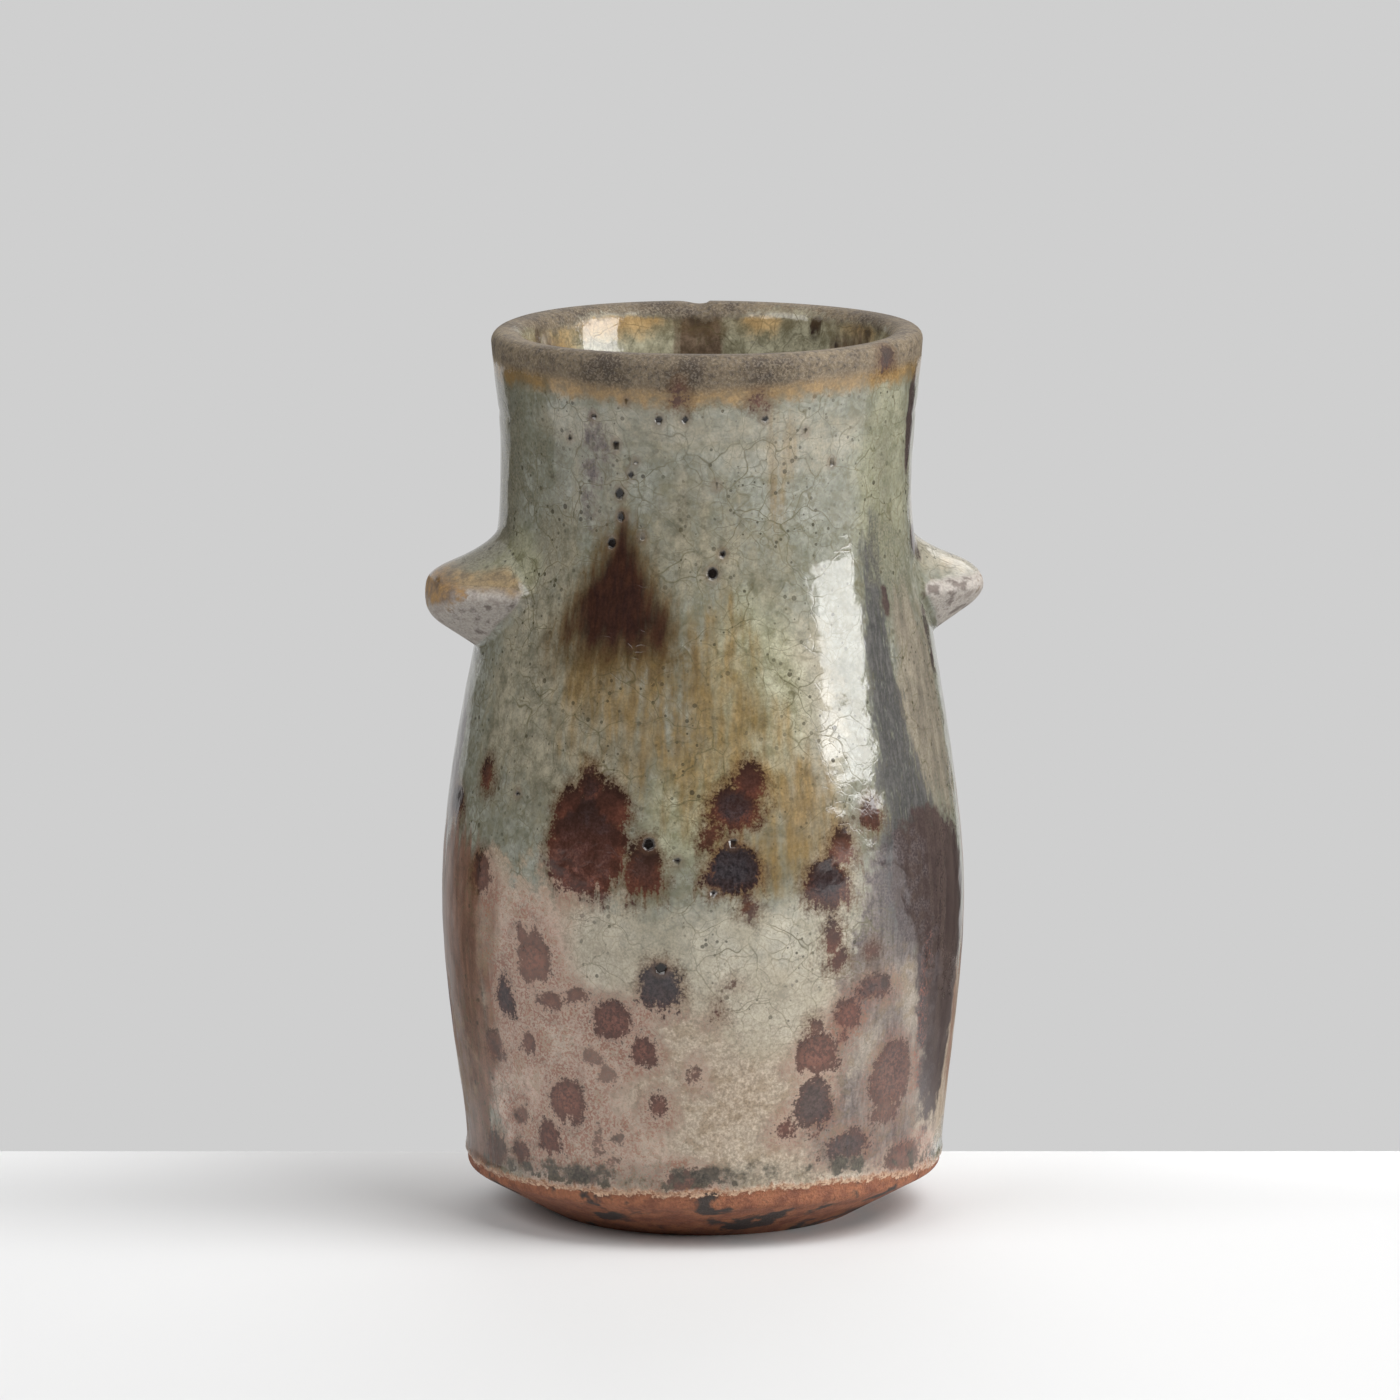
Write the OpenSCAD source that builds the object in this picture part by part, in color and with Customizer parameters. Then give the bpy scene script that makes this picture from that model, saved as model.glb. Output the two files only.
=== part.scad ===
// Small thrown stoneware vase with two lugs at the shoulder.
// The foot stands on z = 0, the axis is Z, and the lugs point along +X and -X.

/* [Body] */
// Height from the table to the top of the lip
height = 148.5; // [138:0.5:165]
// Radius of the foot where it meets the table
foot_radius = 26; // [20:0.5:34]
// Height of the trimmed bevel above the table
bevel_height = 7.6; // [4:0.2:14]
// Radius at the corner between the bevel and the wall
corner_radius = 39.7; // [36:0.1:43]
// Widest radius of the belly
belly_radius = 43.7; // [40:0.1:50]
// Height of the widest part of the belly
belly_height = 54; // [42:0.5:66]
// Radius where the belly turns into the shoulder
shoulder_radius = 38.5; // [36.5:0.1:42]
// Height where the belly turns into the shoulder
shoulder_height = 94; // [86:0.5:98]
// Narrowest radius of the neck
neck_radius = 34; // [30:0.1:36]
// Height of the narrowest part of the neck
neck_height = 121; // [115:0.5:128]

/* [Lip] */
// Outer radius of the lip
lip_radius = 35.6; // [33:0.1:40]
// Thickness of the wall at the lip
lip_wall = 5.4; // [4:0.1:7]
// Rounding of the lip's outer edge
lip_outer_round = 1.9; // [0.8:0.1:2.4]
// Rounding of the lip's inner edge
lip_inner_round = 2.6; // [0.8:0.1:3]

/* [Wall] */
// Thickness of the wall of the body
wall = 5; // [3.5:0.1:7]
// Thickness of the wall at the throat, below the lip
throat_wall = 6.5; // [5.5:0.1:7.5]
// Depth of the throat below the lip, where the wall is thickest
throat_depth = 10; // [6:0.5:14]
// Thickness of the floor
floor_wall = 7; // [5:0.1:12]
// Rounding between the floor and the wall inside
floor_round = 12; // [4:0.5:18]
// Depth of the shallow turned recess under the foot
recess_depth = 1.2; // [0.6:0.1:2.5]
// Width of the ring that the vase stands on
foot_ring = 5.5; // [3:0.5:9]
// Rounding of the foot's outer edge
foot_round = 0.8; // [0.4:0.1:1.6]
// Rounding of the corner above the bevel
corner_round = 1.2; // [0.5:0.1:2.5]

/* [Lugs] */
// How far a lug stands out from the wall
lug_reach = 10.5; // [7:0.1:14]
// How much longer the left lug would be if its nose weren't pressed blunt
left_lug_blunt = 5.6; // [2:0.1:6.5]
// How much longer the right lug would be if its nose weren't pressed blunt
right_lug_blunt = 3.5; // [2:0.1:6.5]
// Half the width of a lug where it meets the wall
lug_half_width = 14.5; // [11:0.1:18]
// Height of the edge of the left lug, on the -X side
left_lug_height = 106.2; // [102:0.2:110]
// Height of the edge of the right lug, on the +X side
right_lug_height = 105; // [102:0.2:110]
// Steepness of the slope above a lug's edge
lug_top_slope = 2.5; // [2:0.05:3]
// Steepness of the slope below a lug's edge
lug_under_slope = 1.7; // [1.4:0.05:2.2]
// Roundness of a lug's nose seen from above
nose_round = 5; // [3:0.1:7]
// Roundness of the edge between a lug's top and its underside
edge_round = 1; // [0.6:0.1:2]
// Roundness of a lug's blunt nose
cap_round = 3.5; // [2:0.1:5]
// Width of the hollow blend between a lug's top and the neck
top_blend = 7.8; // [5:0.1:9]
// Width of the tight blend between a lug's underside and the wall
under_blend = 1.6; // [1:0.1:3]

/* [Hidden] */

// How far the wall leans, as radius gained for each millimetre of height
corner_lean = 0.04;
shoulder_lean = -0.18;
lip_lean = 0.07;
// Fineness of the outlines and of the lugs
curve_step = 3.5;
arc_steps = 8;
lug_rings = 16;
lug_spokes = 48;
// How far a lug's mesh runs past its blend, how deep its edge dips into the wall, and how deep its root is set
root_margin = 1.2;
lug_dip = 0.25;
lug_root = 2.5;
// The blend widens from the underside's to the top's between these heights about a lug's edge
widen_from = -2;
widen_to = 4;
// The hollow's cut runs this far past the lip
cut_past = 2;

lip_height = height - lip_outer_round;
recess_radius = foot_radius - foot_ring;
mouth_radius = lip_radius - lip_wall;
floor_height = recess_depth + floor_wall;
bevel_angle = atan2(bevel_height, corner_radius - foot_radius);

// The wall's outline passes these points: radius, height and lean there
wall_keys = [
    [corner_radius, bevel_height, corner_lean],
    [belly_radius, belly_height, 0],
    [shoulder_radius, shoulder_height, shoulder_lean],
    [neck_radius, neck_height, 0],
    [lip_radius, lip_height, lip_lean],
];

// Cubic curve between two key points that keeps the lean of both
function cubic(a, b, z) =
    let (h = b[1] - a[1], t = (z - a[1]) / h)
    (2 * t ^ 3 - 3 * t ^ 2 + 1) * a[0] + (t ^ 3 - 2 * t ^ 2 + t) * h * a[2]
    + (3 * t ^ 2 - 2 * t ^ 3) * b[0] + (t ^ 3 - t ^ 2) * h * b[2];

// Outer radius of the wall at a height
function radius_at(z, i = 0) =
    i == len(wall_keys) - 2 || z <= wall_keys[i + 1][1]
        ? cubic(wall_keys[i], wall_keys[i + 1], z)
        : radius_at(z, i + 1);

// Thickness of the wall at a height: it grows up the neck to the throat and thins to the lip
function wall_at(z) =
    lookup(z, [[neck_height, wall], [lip_height - throat_depth, throat_wall], [lip_height, lip_wall]]);

// Points of an arc about a centre, from one angle to another
function arc(centre, r, from, to) =
    [for (i = [0:arc_steps])
        let (a = from + (to - from) * i / arc_steps)
        centre + r * [cos(a), sin(a)]];

// Heights from one end to the other in even steps, without the ends
function steps_between(from, to) =
    let (n = ceil(abs(to - from) / curve_step))
    [for (i = [1:n - 1]) from + (to - from) * i / n];

// Outline of the solid form: the recess, the foot, the bevel, the wall and the lip's outer edge
module outer_outline() {
    foot_tangent = foot_round * tan(bevel_angle / 2);
    corner_turn = (90 - bevel_angle) / 2;
    corner_tangent = corner_round * tan(corner_turn);
    polygon(concat(
        [[0, recess_depth], [recess_radius - recess_depth, recess_depth], [recess_radius, 0]],
        arc([foot_radius - foot_tangent, foot_round], foot_round, -90, bevel_angle - 90),
        arc([corner_radius - corner_round, bevel_height + corner_tangent], corner_round,
            bevel_angle - 90, 0),
        [for (z = steps_between(bevel_height + corner_tangent, lip_height)) [radius_at(z), z]],
        arc([lip_radius - lip_outer_round, lip_height], lip_outer_round, 0, 90),
        [[0, height]]
    ));
}

// Outline of the hollow: the floor, its rounded corner, the inner wall and the lip's inner edge
module hollow_outline() {
    corner_z = floor_height + floor_round;
    inner_z = height - lip_inner_round;
    corner_r = radius_at(corner_z) - wall_at(corner_z);
    polygon(concat(
        [[0, floor_height]],
        arc([corner_r - floor_round, corner_z], floor_round, -90, 0),
        [for (z = steps_between(corner_z, inner_z)) [radius_at(z) - wall_at(z), z]],
        arc([mouth_radius + lip_inner_round, inner_z], lip_inner_round, 180, 90),
        [[mouth_radius + lip_inner_round, height + cut_past], [0, height + cut_past]]
    ));
}

// Larger of two values with a hollow blend of width k where they meet
function soft_max(a, b, k) = max(a, b) + max(k - abs(a - b), 0) ^ 2 / (4 * k);

// Length of a value with its kink at zero rounded off
function soft_abs(a, r) = norm([a, r]) - r;

// Width of the blend between a lug and the wall at a height above the lug's edge
function blend_at(above) =
    let (share = max(0, min(1, (above - widen_from) / (widen_to - widen_from))))
    under_blend + (top_blend - under_blend) * share;

// How far a lug stands out at a distance round from its middle and above its edge:
// a four-sided cone, pressed blunt at its nose and blended into the wall
function lug_relief(around, above, blunt) =
    let (tall = lug_reach + blunt,
         side_slope = tall / (norm([lug_half_width, nose_round]) - nose_round),
         slope = above > 0 ? lug_top_slope : lug_under_slope,
         cone = tall - side_slope * soft_abs(around, nose_round) - slope * soft_abs(above, edge_round),
         pressed = -soft_max(-cone, -lug_reach, cap_round))
    soft_max(pressed, 0, blend_at(above));

// A point on or in the wall, at a distance round from the lug's middle
function wall_point(around, z, out, lug_z) =
    let (turn = around / radius_at(lug_z) * 180 / PI, r = radius_at(z) + out)
    [r * cos(turn), r * sin(turn), z];

// A lug on the +X side, as rings that spread from its middle to past its blend
module lug(lug_z, blunt) {
    spread = lug_half_width + top_blend / 2 + root_margin;
    rise = (lug_reach + blunt + top_blend) / lug_top_slope + edge_round + root_margin;
    drop = (lug_reach + blunt + under_blend) / lug_under_slope + edge_round + root_margin;
    rings = [for (i = [1:lug_rings], j = [0:lug_spokes - 1])
        let (share = i / lug_rings, a = 360 * j / lug_spokes)
        [share * spread * cos(a), share * (a < 180 ? rise : drop) * sin(a)]];
    outer = [for (p = rings) wall_point(p[0], lug_z + p[1], lug_relief(p[0], p[1], blunt) - lug_dip, lug_z)];
    last = (lug_rings - 1) * lug_spokes;
    root = [for (j = [0:lug_spokes - 1])
        let (p = rings[last + j])
        wall_point(p[0], lug_z + p[1], -lug_root, lug_z)];
    tip = wall_point(0, lug_z, lug_relief(0, 0, blunt) - lug_dip, lug_z);
    heart = wall_point(0, lug_z, -lug_root, lug_z);
    // Points: the tip, the rings from the tip outwards, the root's ring, the middle of the root
    points = concat([tip], outer, root, [heart]);
    function at(ring, spoke) = 1 + (ring - 1) * lug_spokes + (spoke + lug_spokes) % lug_spokes;
    faces = concat(
        [for (j = [0:lug_spokes - 1]) [0, at(1, j + 1), at(1, j)]],
        [for (i = [1:lug_rings], j = [0:lug_spokes - 1]) each [
            [at(i, j), at(i, j + 1), at(i + 1, j + 1)],
            [at(i, j), at(i + 1, j + 1), at(i + 1, j)]]],
        [for (j = [0:lug_spokes - 1])
            [len(points) - 1, at(lug_rings + 1, j), at(lug_rings + 1, j + 1)]]
    );
    polyhedron(points, faces, convexity = 4);
}

// The whole vase: one fired piece of clay
module vase() {
    color([0.60, 0.59, 0.50])
    difference() {
        union() {
            rotate_extrude($fn = 120) outer_outline();
            lug(right_lug_height, right_lug_blunt);
            rotate([0, 0, 180]) lug(left_lug_height, left_lug_blunt);
        }
        rotate_extrude($fn = 120) hollow_outline();
    }
}

vase();
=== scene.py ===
# %% [markdown]
# # A small thrown stoneware vase
#
# The real vase is one piece of brown stoneware clay. It was thrown on a wheel as a stout cylinder,
# turned at the foot, and given two pinched lugs at the shoulder. A runny ash glaze covers it, pale
# green where it is thick and brown where iron came through. This lesson rebuilds it in two stages:
# the form as one numpy surface, and the glaze as fields painted on that surface, which one material
# then turns into colour, gloss and relief.

import bpy
import numpy as np
from mathutils import Matrix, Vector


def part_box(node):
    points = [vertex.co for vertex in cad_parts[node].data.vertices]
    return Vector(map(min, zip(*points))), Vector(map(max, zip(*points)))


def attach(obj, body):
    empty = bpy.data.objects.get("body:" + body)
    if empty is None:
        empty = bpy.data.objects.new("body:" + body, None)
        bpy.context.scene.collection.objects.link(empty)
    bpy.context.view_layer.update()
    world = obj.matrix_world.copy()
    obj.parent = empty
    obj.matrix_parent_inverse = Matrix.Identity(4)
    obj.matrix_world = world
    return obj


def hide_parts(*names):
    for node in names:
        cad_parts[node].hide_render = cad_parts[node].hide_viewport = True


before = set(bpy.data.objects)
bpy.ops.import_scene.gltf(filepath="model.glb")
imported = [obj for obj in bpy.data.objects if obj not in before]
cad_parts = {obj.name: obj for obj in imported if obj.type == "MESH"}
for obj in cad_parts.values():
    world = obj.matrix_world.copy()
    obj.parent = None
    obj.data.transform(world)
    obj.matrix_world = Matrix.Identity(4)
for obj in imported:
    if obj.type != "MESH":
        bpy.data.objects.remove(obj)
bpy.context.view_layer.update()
foot_corner, top_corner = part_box("vase")
print("CAD node stands", round((top_corner.z - foot_corner.z) * 1000, 1), "mm high")

# %% [markdown]
# ## The camera
#
# The photograph was taken with a long lens from a little above the rim, which keeps the sides nearly
# upright. The camera stands 1.8 m away and 12 degrees to the left of the vase's own front, so that the
# left lug is nearer. The lens follows from the size of the vase in the picture: 6 pixels a millimetre.

# %% Place the camera
PICTURE = 1400  # pixels across the square picture
PIXELS_PER_MM = 6.0  # at the axis of the vase
CAMERA_TURN = -12.0  # degrees from the vase's front
CAMERA_AWAY, CAMERA_HEIGHT, LOOK_HEIGHT = 1800.0, 404.0, 85.5  # millimetres
SENSOR = 36.0  # millimetres
AXIS_OFF_CENTRE = 3.0  # pixels: the vase stands this far right of the picture's middle

camera = bpy.data.objects.new("camera", bpy.data.cameras.new("camera"))
bpy.context.scene.collection.objects.link(camera)
bpy.context.scene.camera = camera
camera_angle = np.radians(CAMERA_TURN)
camera.location = (
    np.sin(camera_angle) * CAMERA_AWAY / 1000,
    -np.cos(camera_angle) * CAMERA_AWAY / 1000,
    CAMERA_HEIGHT / 1000,
)
drop = CAMERA_HEIGHT - LOOK_HEIGHT
camera.rotation_euler = (np.pi / 2 - np.arctan2(drop, CAMERA_AWAY), 0, camera_angle)
sight = np.hypot(CAMERA_AWAY, drop)
camera.data.sensor_width = SENSOR
camera.data.lens = SENSOR * PIXELS_PER_MM * sight / PICTURE
camera.data.shift_x = -AXIS_OFF_CENTRE / PICTURE
print("lens", round(camera.data.lens), "mm")

# %% [markdown]
# ## The profile
#
# Thrown pots are surfaces of revolution with a hand's wobble. The first step is the profile: the
# wall's radius at every height is a smooth cubic curve through five measured places, each with its
# own lean, and the foot and lip are arcs. Sizes here are in millimetres, the same as in the solid.

# %% Work out the wall's radius
HEIGHT = 148.5
CORNER_RADIUS, BEVEL_HEIGHT = 39.7, 7.6
BELLY_HEIGHT, NECK_HEIGHT = 54.0, 121.0
LIP_RADIUS, LIP_OUTER_ROUND = 35.6, 1.9
LIP_HEIGHT = HEIGHT - LIP_OUTER_ROUND  # where the lip's outer rounding begins
WALL_KEYS = np.array([  # radius, height, lean
    (CORNER_RADIUS, BEVEL_HEIGHT, 0.04),
    (43.7, BELLY_HEIGHT, 0.0),
    (38.5, 94.0, -0.18),  # shoulder
    (34.0, NECK_HEIGHT, 0.0),
    (LIP_RADIUS, LIP_HEIGHT, 0.07),
])


def wall_radius(height):
    """Radius at a height: a cubic between the key places that keeps the radius and lean of both."""
    radius, key, lean = WALL_KEYS.T
    height = np.clip(height, key[0], key[-1])
    low = np.clip(np.searchsorted(key, height, side="right") - 1, 0, len(key) - 2)
    span = key[low + 1] - key[low]
    t = (height - key[low]) / span
    return (
        (2 * t**3 - 3 * t**2 + 1) * radius[low]
        + (t**3 - 2 * t**2 + t) * span * lean[low]
        + (3 * t**2 - 2 * t**3) * radius[low + 1]
        + (t**3 - t**2) * span * lean[low + 1]
    )


print("belly is", 2 * wall_radius(BELLY_HEIGHT), "mm across, neck", 2 * wall_radius(NECK_HEIGHT))

# %% Draw the whole profile, from under the foot over the lip to the floor
FOOT_RADIUS, FOOT_RING, RECESS = 26.0, 5.5, 1.2
FLOOR, FLOOR_ROUND, WALL, LIP_WALL, THROAT_WALL, THROAT_DEPTH = 8.2, 12.0, 5.0, 5.4, 6.5, 10.0
LIP_INNER_ROUND, FOOT_ROUND, CORNER_ROUND = 2.6, 0.8, 1.2
MIDDLE_HOLE = 1.5  # radius that the fans of the two middle points close
bevel = np.arctan2(BEVEL_HEIGHT, CORNER_RADIUS - FOOT_RADIUS)


def arc(centre, radius, start, end, count):
    """Points of an arc about a centre, from one angle in radians to another."""
    angle = np.linspace(start, end, count)
    return np.stack([centre[0] + radius * np.cos(angle), centre[1] + radius * np.sin(angle)], 1)


def line(start, end, count):
    """Points from a start towards an end, without the end."""
    share = np.linspace(0, 1, count, endpoint=False)[:, None]
    return np.array(start) * (1 - share) + np.array(end) * share


def inner_radius(height):
    """Radius of the hollow: the wall's radius less its thickness, which is greatest at the throat."""
    places = [NECK_HEIGHT, LIP_HEIGHT - THROAT_DEPTH, LIP_HEIGHT]
    thickness = np.interp(height, places, [WALL, THROAT_WALL, LIP_WALL])
    return wall_radius(height) - thickness


ring_edge = FOOT_RADIUS - FOOT_RING
foot_tangent = FOOT_ROUND * np.tan(bevel / 2)
corner_tangent = CORNER_ROUND * np.tan((np.pi / 2 - bevel) / 2)
corner_middle = (CORNER_RADIUS - CORNER_ROUND, BEVEL_HEIGHT + corner_tangent)
corner_arc = arc(corner_middle, CORNER_ROUND, bevel - np.pi / 2, 0, 6)
foot_arc = arc((FOOT_RADIUS - foot_tangent, FOOT_ROUND), FOOT_ROUND, -np.pi / 2, bevel - np.pi / 2, 5)
rows_up = np.concatenate([  # closer together at the glaze's edge and across the lugs
    np.arange(8.9, 13, 0.45),
    np.arange(13, 93, 1.05),
    np.arange(93, 118, 0.5),
    np.arange(118, LIP_HEIGHT, 1.05),
])
rows_down = np.linspace(HEIGHT - LIP_INNER_ROUND, FLOOR + FLOOR_ROUND, 30)
floor_edge = inner_radius(FLOOR + FLOOR_ROUND) - FLOOR_ROUND
mouth = LIP_RADIUS - LIP_WALL
stretches = [
    line((MIDDLE_HOLE, RECESS), (ring_edge - RECESS, RECESS), 6),
    line((ring_edge - RECESS, RECESS), (ring_edge, 0), 2),
    line((ring_edge, 0), foot_arc[0], 4),
    foot_arc,
    line(foot_arc[-1], corner_arc[0], 18)[1:],
    corner_arc,
    np.stack([wall_radius(rows_up), rows_up], 1),
    arc((LIP_RADIUS - LIP_OUTER_ROUND, LIP_HEIGHT), LIP_OUTER_ROUND, 0, np.pi / 2, 7),
    arc((mouth + LIP_INNER_ROUND, HEIGHT - LIP_INNER_ROUND), LIP_INNER_ROUND, np.pi / 2, np.pi, 8),
    np.stack([inner_radius(rows_down), rows_down], 1)[1:],
    arc((floor_edge, FLOOR + FLOOR_ROUND), FLOOR_ROUND, 0, -np.pi / 2, 9)[1:],
    line((floor_edge, FLOOR), (MIDDLE_HOLE, FLOOR), 6)[1:],
]
profile = np.concatenate(stretches)
counts = np.cumsum([len(part) for part in stretches])
row_is_outside = np.arange(len(profile)) < counts[7]  # up to and with the lip's outer arc
row_is_wall = (np.arange(len(profile)) >= counts[4]) & row_is_outside  # from the corner up
print(len(profile), "rows along the profile")

# %% [markdown]
# ## The lugs
#
# Each lug was pinched from a lump of clay pressed on the shoulder: a four-sided beak with a blunt
# nose, a flat underside that meets the wall in a crease, and a top that sweeps up into the neck. It
# could be a separate modelled piece, but the real one is smoothed into the wall, so here it is relief:
# the same wall surface, pushed outwards by a formula.

# %% Write the lug's relief
LUG_REACH, LUG_HALF_WIDTH = 10.5, 14.5
LUGS = {"left": (-90, 106.2, 5.6), "right": (90, 105.0, 3.5)}  # degrees, height of the edge, bluntness
TOP_SLOPE, UNDER_SLOPE, NOSE_ROUND, EDGE_ROUND, CAP_ROUND = 2.5, 1.7, 5.0, 1.0, 3.5
TOP_BLEND, UNDER_BLEND = 7.8, 1.6


def soft_max(a, b, width):
    """The larger of two values, with a hollow blend of the given width where they meet."""
    return np.maximum(a, b) + np.maximum(width - np.abs(a - b), 0) ** 2 / (4 * width)


def soft_abs(value, round_off):
    """The length of a value, with its kink at zero rounded off."""
    return np.hypot(value, round_off) - round_off


def lug_relief(around, above, blunt):
    """How far a lug stands out, at a distance round from its middle and above its edge.

    A cone with four slopes is pressed blunt at its reach, and blended into the wall."""
    cone = LUG_REACH + blunt
    side_slope = cone / (np.hypot(LUG_HALF_WIDTH, NOSE_ROUND) - NOSE_ROUND)
    slope = np.where(above > 0, TOP_SLOPE, UNDER_SLOPE)
    cone = cone - side_slope * soft_abs(around, NOSE_ROUND) - slope * soft_abs(above, EDGE_ROUND)
    pressed = -soft_max(-cone, -LUG_REACH, CAP_ROUND)
    blend = UNDER_BLEND + (TOP_BLEND - UNDER_BLEND) * np.clip((above + 2) / 6, 0, 1)
    return soft_max(pressed, 0.0, blend)


print("lug stands out", round(float(lug_relief(0.0, 0.0, 5.6)), 1), "mm")

# %% [markdown]
# ## The hand
#
# Nothing thrown is exactly round. The wall is slightly oval with three shallow dents, faint rings climb
# it where the fingers rose, the neck carries one fine turned line, the rim dips by up to two thirds of
# a millimetre, and the whole pot leans a little. Soft random waves that close round the pot give the
# rest.

# %% Make random waves that close round the pot
random = np.random.default_rng(12)
GIRTH = 2 * np.pi * 40  # millimetres round the pot, between belly and neck


def waves(turn, height, size, count=28):
    """Smooth noise from -1 to 1: a sum of waves whose crests are about the given size apart.

    Each wave has a whole number of crests round the pot, so the pattern has no seam."""
    total = np.zeros(np.broadcast(turn, height).shape)
    for direction, phase in random.uniform(0, 2 * np.pi, (count, 2)):
        crests = np.round(GIRTH / size * np.cos(direction))
        total += np.cos(crests * np.radians(turn) + height * 2 * np.pi / size * np.sin(direction) + phase)
    return total / np.sqrt(2 * count)


COLUMNS = 380
turns = np.linspace(-180, 180, COLUMNS, endpoint=False)  # degrees from the camera's side
turn, row_height = np.meshgrid(turns, profile[:, 1])
row_radius = np.repeat(profile[:, :1], COLUMNS, 1)
outside = np.repeat(row_is_outside[:, None], COLUMNS, 1)
on_wall = np.repeat(row_is_wall[:, None], COLUMNS, 1)
print("grid of", turn.size, "points")

# %% Push the surface by hand and by the lugs
around_scale = np.radians(1) * wall_radius(105.6)


def from_lug(name):
    """Millimetres round from a lug's middle and above its edge, and how far the lug stands out."""
    middle, level, blunt = LUGS[name]
    around = ((turn + CAMERA_TURN - middle + 180) % 360 - 180) * around_scale
    above = row_height - level
    return around, above, np.where((np.abs(around) < 24) & on_wall, lug_relief(around, above, blunt), 0)


lug_out = from_lug("left")[2] + from_lug("right")[2]
share_up = np.clip(row_height / HEIGHT, 0, 1)
out = 0.22 * np.cos(np.radians(2 * (turn - 50))) * share_up  # oval
out += 0.16 * waves(turn, row_height, 38) * share_up
RISE = 6.5  # millimetres that the fingers rose in one turn of the wheel
out += np.where(outside, 0.014, 0.08) * np.sin(2 * np.pi * row_height / RISE + np.radians(turn))
out += 0.012 * waves(turn, row_height, 9) * on_wall
line_level = 134.6 + 0.35 * waves(turn, 0 * turn, 60)  # of the turned line
out -= 0.16 * np.exp(-((row_height - line_level) / 0.7) ** 2) * on_wall
DENTS = [  # degrees, height, degrees wide, millimetres tall and deep
    (85, 70, 35, 30, 0.6), (-90, 132, 35, 8, 0.4), (-90, 14, 30, 9, 0.5),
]
for middle, level, wide, tall, deep in DENTS:
    out -= deep * np.exp(-(((turn - middle) / wide) ** 2) - ((row_height - level) / tall) ** 2) * on_wall
out = out * np.clip(row_height / 12, 0, 1) + lug_out

# %% [markdown]
# ## The glaze's edge at the foot
#
# The glaze stops just above the trimmed bevel, in a rolled edge that wavers round the pot. It is up to
# 0.4 mm of real thickness, so it is part of the mesh and not only of the material.

# %% Roll the glaze's edge
edge_height = 9.3 + 0.55 * waves(turns, 0 * turns, 55) + 0.3 * waves(turns, 0 * turns, 9)
past_edge = row_height - edge_height[None, :]  # millimetres above the glaze's edge
skin = np.clip(past_edge / 0.55, 0, 1)
glaze_thickness = (0.16 + 0.24 * np.exp(-(((past_edge - 0.7) / 0.9) ** 2))) * skin * (3 - 2 * skin) * skin
out += glaze_thickness * on_wall
print("glaze ends between", edge_height.min().round(1), "and", edge_height.max().round(1), "mm up")

# %% Turn rows and columns into points
LEAN = 0.6  # millimetres at the rim, to the camera's right
rim_share = share_up**5
rim_wave = -0.3 + 0.3 * np.cos(np.radians(turn - 60)) + 0.12 * np.cos(np.radians(3 * turn + 40))
rim_wave -= 0.3 * np.exp(-(((turn - 120) / 35) ** 2))
nick = 0.5 * np.exp(-(((turn + 180.0) % 360 - 2.0) / 3.5) ** 2)
nick_rows = np.clip((row_height - 147) / 1.2, 0, 1)
height = row_height + rim_wave * rim_share - nick * nick_rows
angle = np.radians(turn + CAMERA_TURN)
radius = row_radius + out
points = np.stack([radius * np.sin(angle), -radius * np.cos(angle), height], -1)
camera_right = [np.cos(camera_angle), np.sin(camera_angle), 0]
points += (share_up * LEAN)[..., None] * camera_right
print("span", np.ptp(points.reshape(-1, 3), 0).round(1), "mm")

# %% [markdown]
# ## One closed mesh
#
# Each row of points joins the next with four-sided faces, and the last column joins the first, so the
# seam is closed. The two poles, under the foot and on the floor inside, are closed with a fan to one
# middle point each. Faces turn outwards because the rows run up outside and down inside.

# %% Build the mesh
def mesh_object(name, corners, faces):
    """An object in the scene whose mesh has the given corners, in metres, and faces."""
    mesh = bpy.data.meshes.new(name)
    mesh.from_pydata(corners, [], faces)
    made = bpy.data.objects.new(name, mesh)
    bpy.context.scene.collection.objects.link(made)
    return made


def closed_skin(name, points, below, above):
    """A mesh from rows of points that close round an axis, with a middle point at each end.

    Corner i, j joins i, j + 1, then i + 1, j + 1, then i + 1, j, where j wraps round."""
    rows, columns = points.shape[:2]
    number = np.arange(rows * columns).reshape(rows, columns)
    following = np.roll(number, -1, 1)
    quads = np.stack([number[:-1], following[:-1], following[1:], number[1:]], -1).reshape(-1, 4)
    first, last = rows * columns, rows * columns + 1
    bottom_fan = np.stack([following[0], number[0], np.full(columns, first)], -1)
    top_fan = np.stack([number[-1], following[-1], np.full(columns, last)], -1)
    corners = np.concatenate([points.reshape(-1, 3), [below], [above]]) / 1000
    made = mesh_object(name, corners, quads.tolist() + bottom_fan.tolist() + top_fan.tolist())
    made.data.polygons.foreach_set("use_smooth", np.ones(len(made.data.polygons), bool))
    made.data.update()
    return made


vase = closed_skin("thrown_vase", points, points[0].mean(0), points[-1].mean(0))
print("triangles", sum(len(face.vertices) - 2 for face in vase.data.polygons))

# %% [markdown]
# ## Painting the glaze
#
# What the kiln did to this glaze is different everywhere: pale green on the neck, an iron-brown arrow
# and amber runs on the shoulder, rust and grey spots, a sandy pink foot and dark streaks on the sides.
# An image would hold it, but a few soft brush dabs for each glaze, laid on the surface as numbers from
# 0 to 1, keep it editable. The material then breaks their edges up with noise, as the melt did.
#
# A dab is: degrees to the right of the photograph's middle, height in millimetres, half width and half
# height in millimetres, and strength.

# %% Dab soft patches onto the wall
def across(turn, middle):
    """Millimetres round the belly from a place, the short way."""
    return ((turn - middle + 180) % 360 - 180) * GIRTH / 360


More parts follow.
